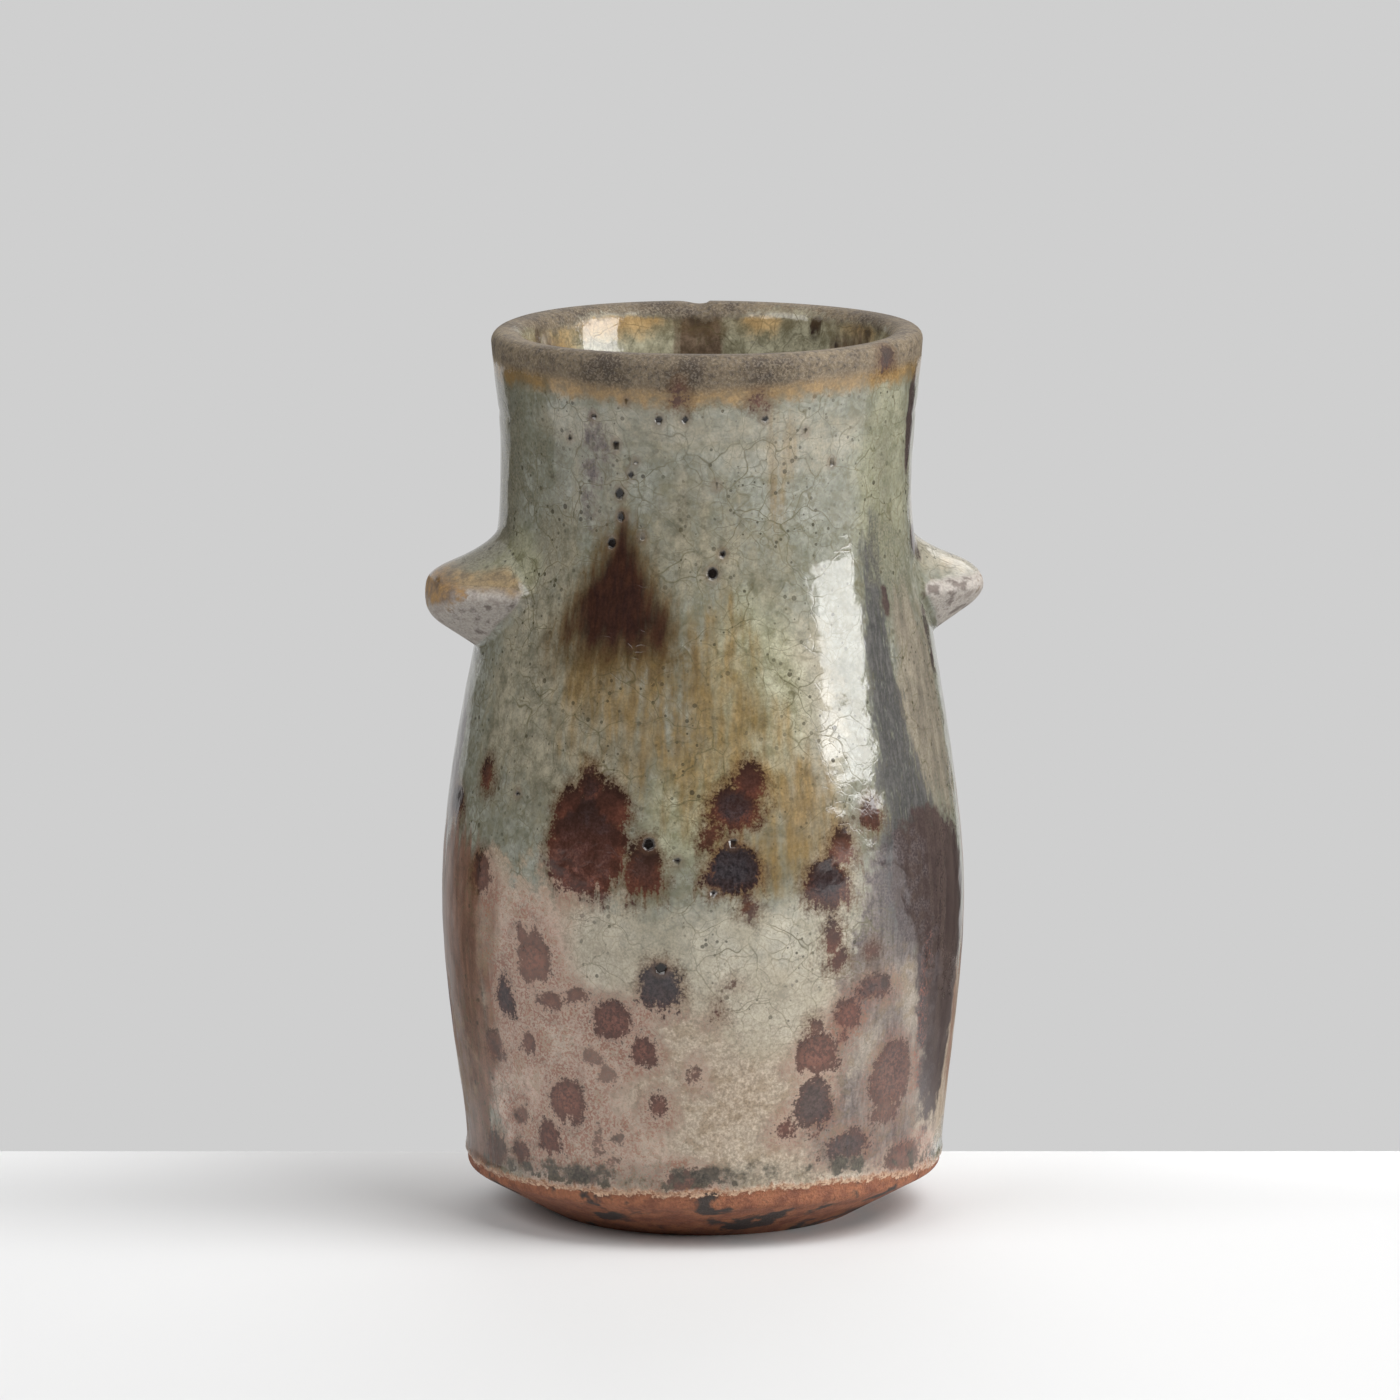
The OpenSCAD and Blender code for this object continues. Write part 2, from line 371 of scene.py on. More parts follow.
def dabbed(dabs):
    """Soft patches laid over each other: each fades from its strength to 0 between half and 1.5 sizes."""
    bare = np.ones(turn.shape)
    for middle, level, half_width, half_height, strength in dabs:
        far = np.hypot(across(turn, middle) / half_width, (row_height - level) / half_height)
        share = np.clip(1.5 - far, 0, 1)
        bare *= 1 - strength * share * share * (3 - 2 * share)
    return 1 - bare


ZONES = {
    "cream": [(-10, 26, 26, 22, 1), (18, 28, 16, 20, 1), (-33, 40, 13, 24, 0.9), (54, 26, 18, 22, 1),
              (-52, 48, 5, 14, 1), (-54, 60, 3, 6, 0.8), (110, 28, 26, 20, 0.9), (160, 30, 28, 22, 1),
              (-110, 26, 26, 18, 0.9), (-150, 30, 24, 22, 1)],
    "pink": [(-40, 47, 8, 13, 0.9), (-33, 34, 14, 11, 0.8), (-42, 22, 12, 13, 0.9), (-20, 39, 6, 7, 0.7),
             (-52, 50, 5, 12, 0.8), (-18, 18, 9, 8, 0.6), (62, 12, 9, 5, 0.9), (33, 40, 4, 5, 0.8),
             (-8, 12, 14, 4, 0.5), (58, 36, 2, 16, 0.7), (-130, 30, 18, 16, 0.8), (150, 24, 16, 12, 0.7)],
    "pale": [(-20, 51, 7, 8, 1), (2, 50, 11, 9, 1), (20, 48, 9, 11, 1), (12, 40, 8, 7, 0.7),
             (32, 57, 6, 7, 0.8), (-78, 112, 6, 5, 0.7), (102, 110, 12, 5, 1), (88, 118, 5, 4, 0.7),
             (24, 88, 7, 18, 0.9), (30, 66, 4, 5, 0.7), (22, 134, 16, 5, 0.6), (-14, 136, 14, 4, 0.5),
             (-42, 136, 9, 3, 0.6), (-150, 56, 22, 9, 0.8), (170, 52, 20, 8, 0.8)],
    "olive": [(-46, 92, 13, 20, 0.9), (-26, 86, 11, 10, 0.8), (-12, 110, 8, 8, 0.5), (-3, 120, 10, 10, 0.6),
              (-75, 124, 8, 22, 0.6), (13, 114, 9, 7, 0.6), (-44, 112, 7, 12, 0.6), (-30, 128, 7, 9, 0.5),
              (-110, 85, 16, 24, 0.7), (150, 96, 16, 20, 0.7), (-150, 110, 14, 18, 0.5)],
    "green": [(12, 92, 9, 18, 0.8), (-4, 74, 7, 9, 0.8), (60, 126, 12, 18, 0.6), (-62, 112, 7, 6, 0.8),
              (180, 82, 20, 15, 0.7), (-100, 128, 20, 14, 0.5)],
    "beige": [(66, 88, 8, 16, 1), (62, 102, 4, 7, 0.8), (74, 74, 5, 5, 0.6), (-100, 100, 8, 14, 0.6)],
    "amber": [(-20, 96, 9, 7, 0.9), (-9, 90, 10, 11, 0.65), (3, 93, 7, 15, 0.7), (9, 83, 10, 9, 0.6),
              (-3, 79, 8, 8, 0.45), (19, 77, 8, 5, 0.8), (13, 66, 8, 5, 0.65), (25, 71, 6, 5, 0.6),
              (20, 131, 3, 10, 0.5), (-30, 90, 6, 8, 0.5), (175, 90, 12, 16, 0.7),
              (-160, 78, 9, 13, 0.7), (120, 84, 10, 16, 0.55)],
    "lilac": [(42, 36, 8, 16, 1), (36, 19, 9, 7, 0.8), (52, 30, 9, 20, 1), (46, 56, 7, 11, 1),
              (50, 63, 5, 6, 0.9), (56, 46, 4, 12, 0.9), (-32, 132, 4, 6, 0.5), (-33, 124, 3, 5, 0.3),
              (100, 40, 12, 14, 0.8)],
    "grey": [(50, 110, 2.6, 9, 0.8), (49, 98, 3.4, 9, 0.95), (50, 87, 4.4, 8, 0.95), (51, 77, 6, 6, 0.9),
             (49, 66, 4.5, 7, 0.9), (53, 116, 1.6, 5, 0.5), (56, 71, 5, 5, 0.9), (52, 59, 7, 9, 0.8),
             (34, 16, 4, 2.5, 0.6), (112, 66, 9, 26, 0.6), (-95, 62, 5, 20, 0.5)],
    "brown": [(-63, 51, 8, 13, 1), (-69, 33, 9, 17, 1), (-84, 46, 12, 18, 1), (-69, 20, 5, 12, 1),
              (-73, 59, 6, 8, 0.9), (-57, 33, 2.5, 5, 0.7), (-63, 13, 4, 5, 0.5), (-77, 14, 8, 8, 0.9),
              (84, 32, 6, 20, 0.7), (94, 60, 7, 20, 0.55), (-170, 60, 9, 13, 0.6)],
    # Of the dark dabs, the one at -82 degrees and 76 mm darkens the belly's left edge: painted shade over a
    # dark streak.
    "dark": [(69, 55, 9, 12, 1), (56, 60, 6, 10, 1), (50, 61, 3.5, 9, 0.9), (67, 41, 7, 25, 1),
             (61, 46, 5, 12, 0.8), (60, 68, 4.5, 4, 0.8), (75, 134, 2.6, 9, 1), (54.5, 106, 1.2, 3.5, 0.8),
             (84, 113, 6, 3, 0.8), (78, 98, 2, 7, 0.6), (-82, 76, 4, 12, 0.7), (-125, 70, 6, 10, 0.7)],
    # Of these dabs, the one at -74 degrees and 130 mm is painted shade: it darkens the neck's left edge,
    # over grey-olive glaze. The rest are dark olive glaze, above the foot and on the right of the neck.
    "olive_and_painted_shade": [(-74, 130, 9, 20, 0.9), (-50, 126, 7, 12, 0.5), (60, 112, 8, 8, 0.6), (-16, 12.5, 18, 3, 0.7),
              (14, 12.5, 14, 3, 0.6), (56, 124, 4, 14, 0.4)],
    "lip_pale": [(-72, 146, 18, 5, 0.9), (38, 147, 14, 5, 0.8), (-18, 148, 6, 3, 0.6), (78, 147, 9, 5, 0.9),
                 (150, 147, 18, 5, 0.8), (-140, 147, 14, 5, 0.7)],
}
fields = {name: dabbed(dabs) * (on_wall | (name == "lip_pale")) for name, dabs in ZONES.items()}
for name, field in fields.items():
    print(name, "covers", round(float(field[on_wall].mean()) * 100), "% of the wall")

# %% [markdown]
# ## The iron spots
#
# Grains of iron in the clay melted through the glaze and left rust spots with a grey or plum-coloured
# heart, longer than they are wide because the glaze ran down. They are laid one by one: for every
# point of the wall the distance to the nearest spot's edge is worked out in millimetres, negative
# inside. A distance keeps a crisp edge on a coarse mesh, where a painted colour would blur.

# %% List the spots
IRON_SPOTS = [  # degrees, height, half width, half length, heart from 0 rust to 1 grey, and strength
    (-27, 69, 6.6, 8.8, 0.25, 1), (-30.5, 74, 3.2, 3.6, 0.1, 1), (-22.5, 74.5, 3.8, 4, 0.1, 1),
    (-26.5, 77, 2.6, 3.2, 0.5, 1), (-27.3, 80, 1, 1.2, 0.8, 0.9),
    (-13.5, 65, 3.1, 4.5, 0.35, 0.95), (10, 79, 2.4, 3.2, 0.3, 1), (6.5, 75, 3.8, 3.6, 0.6, 1),
    (1.5, 71, 1.4, 2.3, 0.3, 0.9), (6, 65, 4.2, 4.2, 0.9, 1), (9.5, 59, 1.1, 1.5, 0.1, 0.8),
    (31.5, 67.5, 2.2, 3.2, 0.15, 0.9), (40, 72.5, 1.9, 2.3, 0.35, 0.9), (27.5, 62, 3.7, 4, 0.7, 1),
    (29, 53, 1.2, 3, 0.2, 0.95), (30.5, 49.5, 1.4, 1.8, 0.2, 0.95), (39, 50, 1.3, 1.2, 0.3, 0.7),
    (-59.5, 77, 1.8, 2.6, 0.3, 0.85), (-75, 70.5, 3.6, 3, 0.8, 0.9), (-57.5, 61, 2.8, 3.4, 0.6, 0.8),
    (-40, 48.5, 3.4, 4.8, 0.3, 0.7), (-43, 52, 1.4, 2, 0.1, 0.7), (-49.5, 41, 2.3, 3.4, 1, 1),
    (-35.5, 41.5, 3, 1.7, 0.1, 0.75), (-29, 43, 2, 1.4, 0.1, 0.7), (-20.5, 39.5, 3.3, 3.4, 0.35, 0.95),
    (-9.5, 45.5, 3.2, 4, 1, 1), (-13.5, 34.5, 2.3, 2.6, 0.25, 0.95), (-25.5, 33, 1.6, 1.6, 0.4, 0.45),
    (-22, 30, 1.6, 1.4, 0.5, 0.4), (-43, 34, 1.6, 2, 0.15, 0.75), (-33, 25, 3.4, 4, 0.2, 0.85),
    (-38.5, 18, 2.3, 3.2, 0.35, 0.9), (-47, 21, 1.7, 1.7, 0.2, 0.6), (-48.5, 14.5, 2.2, 1.9, 0.4, 0.8),
    (-59, 13.5, 3.8, 2.8, 0.4, 0.6), (-55, 32, 2.8, 2.6, 0.4, 0.6), (-10, 25, 1.6, 2, 0.15, 0.9),
    (-2, 30.5, 1.1, 1.5, 0.15, 0.7), (-20, 19.3, 1, 1.2, 1, 0.5), (3, 41, 0.5, 0.9, 0, 0.9),
    (6, 46, 0.8, 0.7, 0, 0.6),
    (26, 33.5, 3.7, 3.8, 0.35, 0.85), (25, 38, 1.4, 1.6, 0.5, 0.8), (26, 25, 3.2, 4.7, 1, 0.85),
    (19, 21, 1.5, 2, 0.1, 0.9), (26.5, 19.5, 0.8, 0.8, 0.1, 0.7), (33, 39.5, 2.6, 2.5, 0.3, 0.85),
    (40, 43.5, 3.6, 2.2, 0.8, 0.75), (32, 35.5, 1.2, 1.2, 0.1, 0.8), (48, 28, 5, 5.8, 0.6, 0.7),
    (47, 21.5, 3.4, 2, 0.4, 0.6), (36, 17, 4.6, 2.6, 0.95, 0.75), (56, 13, 5, 2.3, 0.5, 0.65),
    (-3.5, 12.5, 3.2, 2, 0.5, 0.75), (-25, 18.5, 0.9, 2.4, 0.1, 0.5), (-22, 15, 1.3, 0.9, 0.1, 0.5),
    (-7.5, 143.5, 1, 1, 0.3, 0.9), (-7.5, 141, 1, 0.9, 0.2, 0.8), (14, 141, 1.4, 1.2, 0.2, 0.9),
    (-30, 12, 2.5, 1.2, 0.9, 0.5), (55, 146, 2.4, 2, 0.8, 0.7),
]
# The side that the photograph doesn't show has spots of the same kinds, strewn by chance.
strewn = random.uniform([82, 16, 1.2, 0.0, 0.5], [278, 78, 3.8, 1.0, 1.0], (34, 5))
IRON_SPOTS += [(a, h, w, w * 1.3, heart, strength) for a, h, w, heart, strength in strewn]
print(len(IRON_SPOTS), "iron spots")


# %% Measure the distance to the nearest spot
def spot_distance(middle, level, half_width, half_length):
    """Millimetres to the edge of a squarish drop, a little narrower at its top, negative inside."""
    s, v = across(turn, middle), row_height - level
    narrow = 1 - 0.2 * np.clip(v / half_length, -1, 1)
    far = (np.abs(s / (half_width * narrow)) ** 2.2 + np.abs(v / half_length) ** 2.2) ** (1 / 2.2)
    return (far - 1) * min(half_width, half_length)


spot_edge = np.full(turn.shape, 30.0)
spot_heart, spot_strength, spot_low = np.zeros(turn.shape), np.ones(turn.shape), np.zeros(turn.shape)
for middle, level, half_width, half_length, heart, strength in IRON_SPOTS:
    distance = spot_distance(middle, level, half_width, half_length)
    nearer = distance < spot_edge
    spot_heart[nearer], spot_strength[nearer] = heart, strength
    spot_low[nearer] = np.clip((level - row_height[nearer]) / half_length, -1, 1) * min(half_length / 5, 1)
    spot_edge = np.where(nearer, distance, spot_edge)
fields["spot_edge"] = np.where(on_wall, spot_edge, 30.0)
fields["spot_heart"], fields["spot_strength"], fields["spot_low"] = spot_heart, spot_strength, spot_low

PINHOLES = [  # degrees, height, radius
    (-9.3, 48.6, 0.75), (6.2, 69.3, 0.55), (-25.2, 133.3, 0.6), (-21, 128.6, 0.5), (-24.4, 125.3, 0.75),
    (-24, 121.5, 0.65), (-19.4, 130.8, 0.35), (-40.5, 134, 0.45), (-31.7, 137.8, 0.45), (-21.8, 140.7, 0.4),
    (36.4, 130, 0.5), (4.5, 115.7, 0.5), (1.8, 112.6, 0.8), (2.8, 127, 0.4), (-17.6, 118.4, 0.45),
    (-26.7, 117, 0.7), (-12.8, 137.8, 0.6), (-5.7, 138, 0.5), (27.5, 135.5, 0.4), (15.8, 138, 0.5),
    (2, 61, 0.5), (-47, 75, 0.4), (-6, 66.3, 0.5), (-12.3, 69, 0.8),
]
pin_edge = np.full(turn.shape, 30.0)
for middle, level, size in PINHOLES:
    pin_edge = np.minimum(pin_edge, np.hypot(across(turn, middle), row_height - level) - 1.3 * size)
fields["pin_edge"] = np.where(on_wall, pin_edge, 30.0)

# %% [markdown]
# ## The arrow, the lip, the lugs and the foot
#
# The dark arrow on the shoulder is an iron-rich run: a narrow point that widens downwards and fades
# into amber. The lip is dry and dark with an orange band below it, the lugs' undersides are bare of
# gloss, and below the glaze's edge the clay itself shows. Each is one field, worked out from the form.

# %% Lay the arrow and the bands
ARROW_TURN, ARROW_FOOT = -23.8, 98  # degrees, and the height below which it fades
HALF_AT = [  # heights, and half the arrow's width there, in millimetres
    (96, 12.5), (102, 11), (106, 9), (111, 6.2), (114, 4.6), (117, 2.9), (120, 1.4), (123, 0), (125, -12),
]
arrow_half = np.interp(row_height, *zip(*HALF_AT))
arrow_in = arrow_half - np.abs(across(turn, ARROW_TURN) * wall_radius(108) / 40)
arrow_in = -soft_max(-arrow_in, -(row_height - ARROW_FOOT) * 0.6, 5.0)
fields["arrow_in"] = np.where(on_wall, np.clip(arrow_in, -12, 12), -12.0)  # millimetres inside its outline

sag = 1.3 * np.exp(-(((turn + 4) / 32) ** 2)) + 0.4 * waves(turn, 0 * turn, 60)
fields["below_lip"] = HEIGHT - row_height - np.where(outside, sag, 1.2 * waves(turn, 0 * turn, 34) - 2.5)
INSIDE = {
    "in_ochre": [(-150, 145, 14, 1.8, 1), (162, 145, 6, 1.6, 1), (-124, 143, 6, 3, 0.8),
                 (120, 145, 9, 2, 0.7)],
    "in_brown": [(-178, 138, 6, 16, 1), (-165, 128, 5, 6, 0.8), (124, 141, 8, 5, 0.9),
                 (-116, 138, 7, 9, 0.8)],
    "in_dark": [(152, 143, 1.8, 1.3, 1), (142, 146, 1.6, 1.1, 1), (116, 145, 2.2, 1.6, 0.9),
                (-112, 146, 1.6, 1.2, 0.9), (-178, 146, 2.6, 3, 0.9), (132, 142, 1.2, 1, 0.9)],
}
for name, dabs in INSIDE.items():
    fields[name] = dabbed(dabs) * ~outside
fields["inside"] = 1.0 - outside
fields["past_edge"] = np.where(outside, past_edge, 30.0)

BURNT = {"left": 1.0, "right": 0.25}  # how far the flame turned each lug's edge and nose ochre
matte, lug_rim, nose = np.zeros((3, *turn.shape))
for name in LUGS:
    around, above, stands_out = from_lug(name)
    stands = np.clip((stands_out - 0.5) / 1.2, 0, 1)
    matte = np.maximum(matte, stands * np.clip((2.2 - above) / 1.4, 0, 1))
    lug_rim = np.maximum(lug_rim, stands * np.exp(-(((above - 2.4) / 1.8) ** 2)) * BURNT[name])
    tip = np.clip((stands_out - 7) / 3, 0, 1) * np.exp(-(((above - 0.5) / 3.5) ** 2))
    nose = np.maximum(nose, tip * BURNT[name])
fields["matte"], fields["lug_rim"], fields["nose"] = matte * on_wall, lug_rim * on_wall, nose


# %% Store the fields on the mesh
def store(piece, name, values):
    """One number for each point of the skin, and the edge rows' mean for the two middle points."""
    attribute = piece.data.attributes.new(name, "FLOAT", "POINT")
    ends = [values[0].mean(), values[-1].mean()]
    attribute.data.foreach_set("value", np.append(values.ravel(), ends).astype(np.float32))


for name, field in fields.items():
    store(vase, name, field)
print("fields:", ", ".join(fields))

# %% [markdown]
# ## The material
#
# The vase has one finish: an ash glaze on iron-bearing stoneware, fired with a live flame. It is glass,
# so its IOR is 1.5 and it is glossy where it ran thick, satin where it stayed thin and dry, and bare
# clay is dull. One small function adds a node with its settings and links; everything else is said in
# the order in which the colours lie on each other. Lengths in the material are millimetres of the
# vase's own coordinates, so nothing slides when the camera moves.

# %% A function that adds a node
def linear(code):
    """An sRGB hex colour as linear red, green, blue and alpha."""
    parts = np.array([int(code[i:i + 2], 16) for i in (1, 3, 5)]) / 255
    return (*np.where(parts <= 0.04045, parts / 12.92, ((parts + 0.055) / 1.055) ** 2.4), 1.0)


SUMS = ("ADD", "SUBTRACT", "MULTIPLY", "MULTIPLY_ADD", "MAXIMUM", "POWER", "ABSOLUTE")
SHORT = {name: ("Math", {"operation": name}) for name in SUMS}  # short names, and the settings they carry
SHORT["mix"] = ("Mix", {"data_type": "RGBA"})  # takes a share and two colours
SHORT["ramp"] = ("MapRange", {"interpolation_type": "SMOOTHSTEP"})  # takes a value, and from and to limits


def node(kind, *inputs, **settings):
    """Adds a node to the current tree, with its settings and links.

    Inputs come in the order of its sockets, or in a dict by their names. Each is a number, a hex colour,
    a node or one of a node's outputs."""
    kind, usual = SHORT.get(kind, (kind, {}))
    made = tree.nodes.new("ShaderNode" + kind)
    for name, value in {**usual, **settings}.items():
        setattr(made, name, value)
    sockets = [socket for socket in made.inputs if socket.enabled]
    if inputs and isinstance(inputs[0], dict):
        sockets = [next(socket for socket in sockets if socket.name == name) for name in inputs[0]]
        inputs = inputs[0].values()
    for socket, value in zip(sockets, inputs):
        if isinstance(value, bpy.types.Node):
            value = next(output for output in value.outputs if output.enabled)
        if isinstance(value, bpy.types.NodeSocket):
            tree.links.new(value, socket)
        else:
            socket.default_value = linear(value) if isinstance(value, str) else value
    return made


def emptied(owner):
    """The node tree of a material or a world, with nothing in it."""
    owner.use_nodes = True
    owner.node_tree.nodes.clear()
    return owner.node_tree


glaze = bpy.data.materials.new("ash_glaze_on_stoneware")
tree = emptied(glaze)

# %% Coordinates, bent so that cracks and streaks wander
place = node("TexCoord").outputs["Object"]
millimetres = node("VectorMath", place, 1000.0, operation="SCALE")
wandering = node("TexNoise", {"Vector": millimetres, "Scale": 1 / 14})
wander = node("VectorMath", wandering.outputs["Color"], (-0.5, -0.5, -0.5), operation="ADD")
swayed = node("VectorMath", wander, (2.0, 2.0, 0.0), millimetres, operation="MULTIPLY_ADD")
downhill = node("Mapping", {"Vector": swayed, "Scale": (1.0, 1.0, 0.09)})
trickle = node("Mapping", {"Vector": swayed, "Scale": (1.0, 1.0, 0.16)})
curling = node("TexNoise", {"Vector": millimetres, "Scale": 1 / 4, "Detail": 1.0})
curl = node("VectorMath", curling.outputs["Color"], (-0.5, -0.5, -0.5), operation="ADD")
bent = node("VectorMath", wander, (7.0, 7.0, 7.0), millimetres, operation="MULTIPLY_ADD")
curled = node("VectorMath", curl, (3.6, 3.6, 3.6), bent, operation="MULTIPLY_ADD")

# %% The patterns that mix colours and break up every edge
PATTERNS = {  # coordinates, size in millimetres, detail, roughness
    "cloud": (millimetres, 9.0, 4.0, 0.6),
    "mottle": (millimetres, 2.6, 5.0, 0.65),
    "streak": (downhill, 1.9, 4.0, 0.55),
    "rivulet": (trickle, 0.8, 3.0, 0.6),
    "dust": (millimetres, 0.8, 3.0, 0.7),
    "grain": (millimetres, 0.4, 2.0, 0.6),
    "vein": (bent, 1.7, 2.0, 0.5),
}
patterns = {
    name: node("TexNoise", {"Vector": where, "Scale": 1 / size, "Detail": detail, "Roughness": rough})
    for name, (where, size, detail, rough) in PATTERNS.items()
}
field = {name: node("Attribute", attribute_name=name).outputs["Fac"] for name in fields}
print("patterns:", ", ".join(patterns))


# %% Break a painted field up, mottle two colours and nibble an edge
def broken(weight, pattern, spread, soft):
    """Where a painted field lies once noise has broken its edge: 0 outside, 1 inside.

    The pattern is added to the field, spread times, and the sum is cut softly at its middle. Where the
    field is nothing, so is the result."""
    middle = 0.5 + spread / 2
    summed = node("MULTIPLY_ADD", patterns[pattern], spread, weight)
    cut = node("ramp", summed, middle - soft, middle + soft)
    return cut if isinstance(weight, float) else node("MULTIPLY", cut, node("ramp", weight, 0.0, 0.2))


def mottled(first, second, pattern="mottle", soft=0.8):
    """Two colours that a pattern mixes."""
    return node("mix", broken(0.5, pattern, 4.0, soft), first, second)


def nibbled(distance, reaches):
    """A distance with a ragged edge: each pattern, less its middle, times its reach is added to it."""
    for pattern, reach in reaches.items():
        distance = node("MULTIPLY_ADD", node("SUBTRACT", patterns[pattern], 0.5), reach, distance)
    return distance


# %% [markdown]
# ### The layers of colour
#
# The ground is celadon, a glaze made green by a trace of iron. Over it each zone has two colours that
# a pattern mixes, and a pattern that breaks its edge: streaks where the glaze ran, dust where it stayed
# dry. The hex values are what each place looks like in plain light.

# %% Lay the zones over the ground
colour = mottled("#7A7A6A", "#A2A397", "cloud", 0.9)
GROUND_FLECKS = [  # how common, pattern, its spread, softness, cover, colour
    (0.42, "mottle", 3.0, 0.25, 0.75, "#6E6B59"),
    (0.40, "dust", 4.0, 0.30, 0.45, "#5D5A47"),
    (0.38, "vein", 3.0, 0.30, 0.15, "#BCBDB1"),
]
for common, pattern, spread, soft, cover, fleck in GROUND_FLECKS:
    colour = node("mix", node("MULTIPLY", broken(common, pattern, spread, soft), cover), colour, fleck)
LAYERS = [  # zone, two colours, pattern that mixes them, pattern of the edge, its spread, softness, cover
    ("cream", "#958470", "#BDAC98", "dust", "mottle", 1.6, 0.30, 1.0),
    ("pink", "#B3998A", "#CDB7A8", "mottle", "mottle", 1.8, 0.40, 0.9),
    ("pale", "#9C9481", "#B6AF9E", "cloud", "mottle", 1.3, 0.60, 0.9),
    ("olive", "#746D5A", "#A19985", "mottle", "streak", 1.6, 0.45, 0.8),
    ("green", "#878463", "#B1AF97", "mottle", "cloud", 1.2, 0.45, 0.8),
    ("beige", "#746B60", "#928979", "streak", "streak", 1.4, 0.40, 0.9),
    ("amber", "#8D7142", "#6F5A38", "rivulet", "streak", 3.0, 0.80, 0.8),
    ("lilac", "#4D4544", "#857973", "rivulet", "mottle", 2.2, 0.40, 0.95),
    ("grey", "#313035", "#5F5D5B", "rivulet", "rivulet", 2.4, 0.45, 0.92),
    ("brown", "#694E41", "#846453", "streak", "streak", 2.0, 0.35, 1.0),
    ("olive_and_painted_shade", "#5A584C", "#7B7868", "dust", "mottle", 2.6, 0.40, 0.7),
    ("dark", "#453A38", "#544843", "streak", "mottle", 1.8, 0.25, 1.0),
]
covered = {}
for name, first, second, mix_by, edge_by, spread, soft, cover in LAYERS:
    covered[name] = node("MULTIPLY", broken(field[name], edge_by, spread, soft), cover)
    colour = node("mix", covered[name], colour, mottled(first, second, mix_by))
clotted = node("MULTIPLY", covered["lilac"], broken(0.44, "mottle", 4.0, 0.4))
colour = node("mix", node("MULTIPLY", clotted, 0.75), colour, mottled("#3F393A", "#5C5352", "grain"))
sooty = node("MAXIMUM", covered["dark"], covered["grey"])
bright = node("SUBTRACT", 1.0, sooty)
ran_over = node("SUBTRACT", 1.0, covered["pale"])
for name in ("cream", "pink"):
    covered[name] = node("MULTIPLY", covered[name], ran_over)
dry = node("MULTIPLY_ADD", covered["cream"], -0.8, 1.0)  # 0.2 where the glaze stayed dry, 1 where it ran
dryness = node("MULTIPLY", node("SUBTRACT", 1.0, dry), bright)

# %% The dry glaze is curdled: pale where it is thicker, olive-brown in fine grains
curdled = node("MULTIPLY", covered["cream"], broken(0.47, "cloud", 5.0, 0.8))
colour = node("mix", node("MULTIPLY", curdled, node("MULTIPLY", bright, 0.45)), colour, "#C0B4A2")
grainy = node("MULTIPLY", covered["cream"], broken(0.36, "mottle", 3.0, 0.2))
colour = node("mix", node("MULTIPLY", grainy, node("MULTIPLY", bright, 0.55)), colour, "#796750")

# %% [markdown]
# ### Specks and crackle
#
# Dark specks float in the green, and the cooled glaze has crazed into cells a few millimetres wide. The
# real cracks are a hair's width, which would vanish at this size, so they are drawn 0.15 mm wide. Cells
# are a Voronoi pattern: its distance to the edge is a crack. Finer veins are where a noise passes its
# middle value.

# %% Veins and specks
vein_off = node("ABSOLUTE", node("SUBTRACT", patterns["vein"], 0.5))
vein = node("MULTIPLY", node("ramp", vein_off, 0.018, 0.0), broken(0.5, "cloud", 4.0, 0.6))
colour = node("mix", node("MULTIPLY", vein, node("MULTIPLY", bright, 0.42)), colour, "#5F543F")

gathering = node("MULTIPLY", bright, broken(0.8, "cloud", 5.0, 1.2))
SPECKS = [(1.3, 0.38, 2.0), (3.8, 0.16, 3.0)]  # millimetres apart, largest as a share of that, rarity
for apart, most, rarity in SPECKS:
    specks = node("TexVoronoi", {"Vector": millimetres, "Scale": 1 / apart})
    speck_size = node("MULTIPLY_ADD", node("POWER", specks.outputs["Color"], rarity), most, 0.02)
    speck_in = node("SUBTRACT", speck_size, specks.outputs["Distance"])
    speck_on = node("MULTIPLY", node("ramp", speck_in, -0.03, 0.04, 0.0, 0.85), dry)
    colour = node("mix", node("MULTIPLY", speck_on, gathering), colour, "#3D382D")

# %% Crackle
cells = node("TexVoronoi", {"Vector": curled, "Scale": 1 / 3.2}, feature="DISTANCE_TO_EDGE")
plates = node("TexVoronoi", {"Vector": curled, "Scale": 1 / 8}, feature="DISTANCE_TO_EDGE")
hair = node("ramp", cells, 0.0, 0.045, 0.5, 0.0)
crack = node("ramp", plates, 0.0, 0.02, 0.85, 0.0)
crazing = node("MULTIPLY", node("MAXIMUM", hair, crack), broken(0.66, "cloud", 4.0, 0.8))
crazed = node("MULTIPLY", node("MULTIPLY", crazing, dry), bright)
colour = node("mix", crazed, colour, "#605A42")

# %% [markdown]
# ### Lip and inside
#
# Where glaze is thin the iron shows: the lip is dry and dark with an ochre band under it. Inside, the
# glaze is olive, with ochre patches, brown runs and a few dark spots.

# %% Lay the inside and the lip
inside = mottled("#7B765F", "#A8A38C")
inside_ochre = mottled("#9E8156", "#C6A97B", "cloud")
inside = node("mix", broken(field["in_ochre"], "mottle", 1.6, 0.4), inside, inside_ochre)
inside = node("mix", broken(field["in_brown"], "streak", 1.8, 0.4), inside, mottled("#4B3D30", "#716050"))
inside = node("mix", broken(field["in_dark"], "dust", 1.0, 0.3), inside, "#352B26")
inside = node("mix", node("MULTIPLY", crazing, 0.8), inside, "#4F4833")
colour = node("mix", field["inside"], colour, inside)

